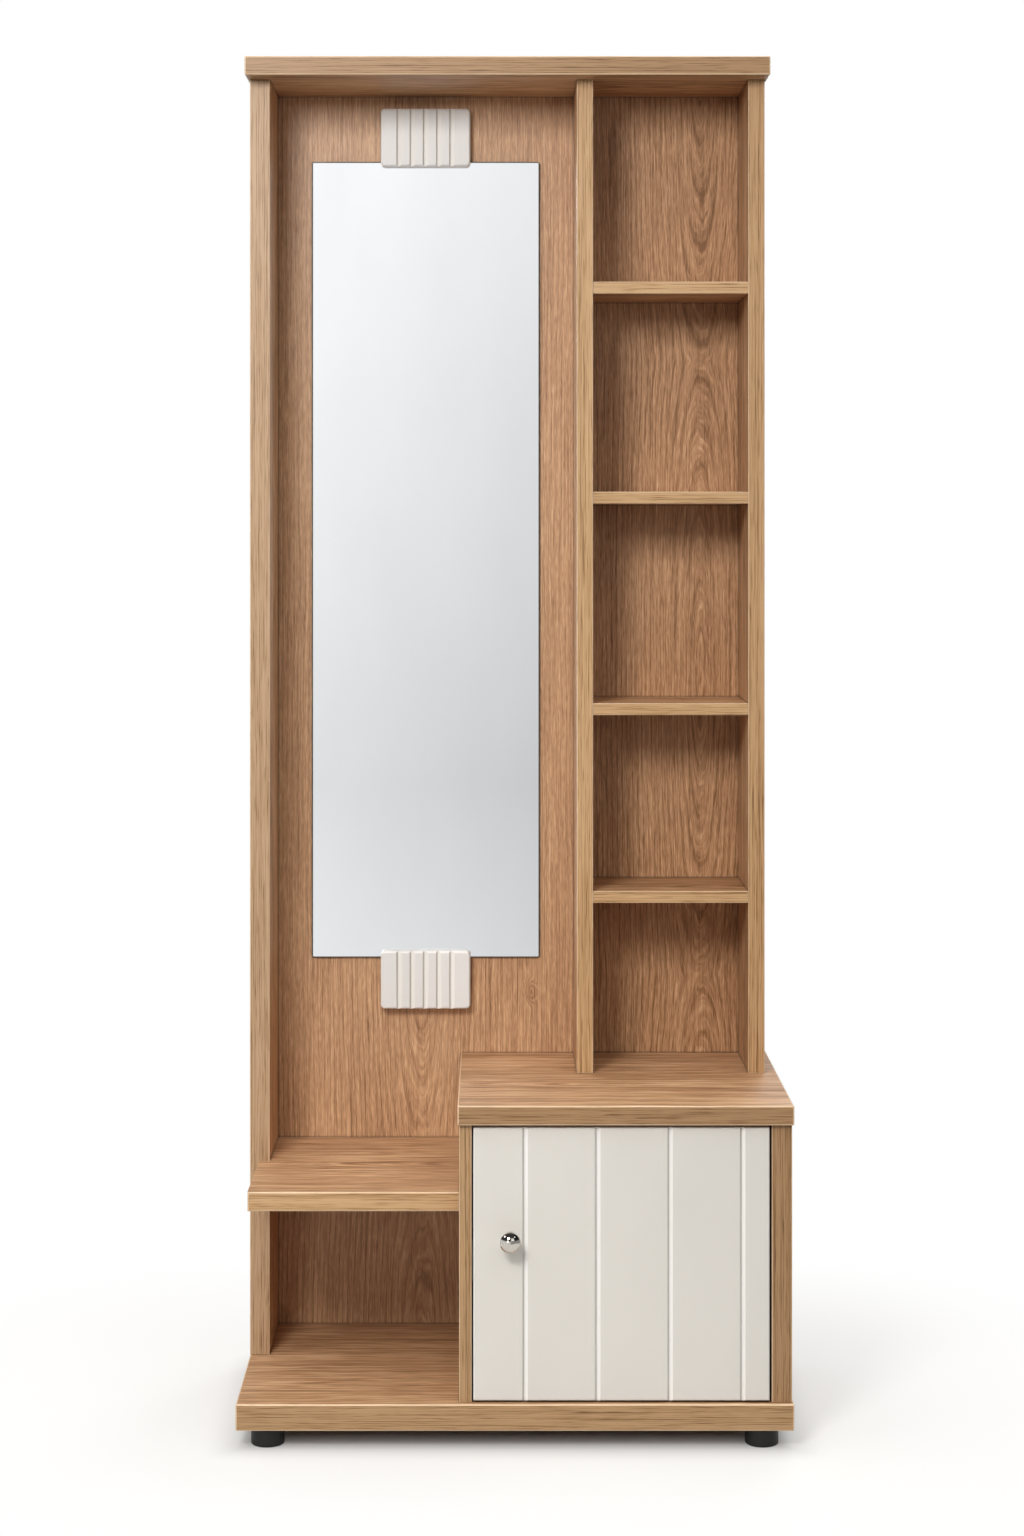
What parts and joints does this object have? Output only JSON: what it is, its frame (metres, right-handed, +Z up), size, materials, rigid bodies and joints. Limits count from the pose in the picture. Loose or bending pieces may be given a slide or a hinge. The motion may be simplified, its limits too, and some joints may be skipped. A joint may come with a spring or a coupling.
{
  "type": "dressing unit with mirror",
  "caption": "Tall hallway dressing unit: framed mirror bay over a low ledge, an open shelf tower beside it and a small cabinet with a grooved door, on a thick base with round feet.",
  "frame": {"origin": "centre of the footprint, on the floor under the feet", "axes": "+X to the right as seen from the front, +Y from the front to the wall, +Z up"},
  "size_m": [0.714, 0.402, 1.8],
  "materials": {
    "oak_decor_board": "satin oak decor",
    "painted_board": "off-white satin paint",
    "mirror": "silvered float glass",
    "foam_tape": "white foam tape",
    "foot_plastic": "black moulded",
    "beech_dowel": "plain beech",
    "cap_plastic": "wood-coloured moulded",
    "catch_plastic": "white moulded",
    "magnet": "sintered ferrite",
    "chrome": "polished chrome",
    "zinc_steel": "zinc-plated"
  },
  "bodies": {
    "cabinet": {"back_screws": "zinc_steel", "base_board": "oak_decor_board", "base_screws": "zinc_steel", "bracket_screws": "zinc_steel", "cabinet_back": "oak_decor_board", "cabinet_left_side": "oak_decor_board", "cabinet_right_side": "oak_decor_board", "cabinet_side_screws": "zinc_steel", "cabinet_top": "oak_decor_board", "cam_bolts": "zinc_steel", "cam_locks": "zinc_steel", "catch_housing": "catch_plastic", "catch_magnet": "magnet", "catch_poles": "zinc_steel", "catch_screws": "zinc_steel", "divider": "oak_decor_board", "foot_front_left": "foot_plastic", "foot_front_right": "foot_plastic", "foot_rear_left": "foot_plastic", "foot_rear_right": "foot_plastic", "foot_screws": "zinc_steel", "hinge_arm_screws": "zinc_steel", "hinge_plate_screws": "zinc_steel", "ledge": "oak_decor_board", "ledge_screws": "zinc_steel", "left_side": "oak_decor_board", "left_side_screws": "zinc_steel", "lower_hinge_arm": "zinc_steel", "lower_hinge_plate": "zinc_steel", "lower_mirror_bracket": "painted_board", "mirror_back": "oak_decor_board", "mirror_glass": "mirror", "mirror_tape": "foam_tape", "right_side": "oak_decor_board", "screw_caps": "cap_plastic", "shelf_1": "oak_decor_board", "shelf_2": "oak_decor_board", "shelf_3": "oak_decor_board", "shelf_4": "oak_decor_board", "shelf_back": "oak_decor_board", "shelf_dowels": "beech_dowel", "top_board": "oak_decor_board", "top_screws": "zinc_steel", "upper_hinge_arm": "zinc_steel", "upper_hinge_plate": "zinc_steel", "upper_mirror_bracket": "painted_board", "upright_dowels": "beech_dowel"},
    "door": {"cup_screws": "zinc_steel", "door_knob": "chrome", "door_panel": "painted_board", "knob_screw": "zinc_steel", "lower_hinge_cup": "zinc_steel", "lower_hinge_pin": "zinc_steel", "strike_plate": "zinc_steel", "strike_screw": "zinc_steel", "upper_hinge_cup": "zinc_steel", "upper_hinge_pin": "zinc_steel"}
  },
  "joints": [
    {"name": "door_hinge", "type": "hinge", "parent": "cabinet", "child": "door", "pos_m": [0.304, -0.1615, 0.234], "axis": [0, 0, 1], "range_deg": [0, 100]}
  ]
}
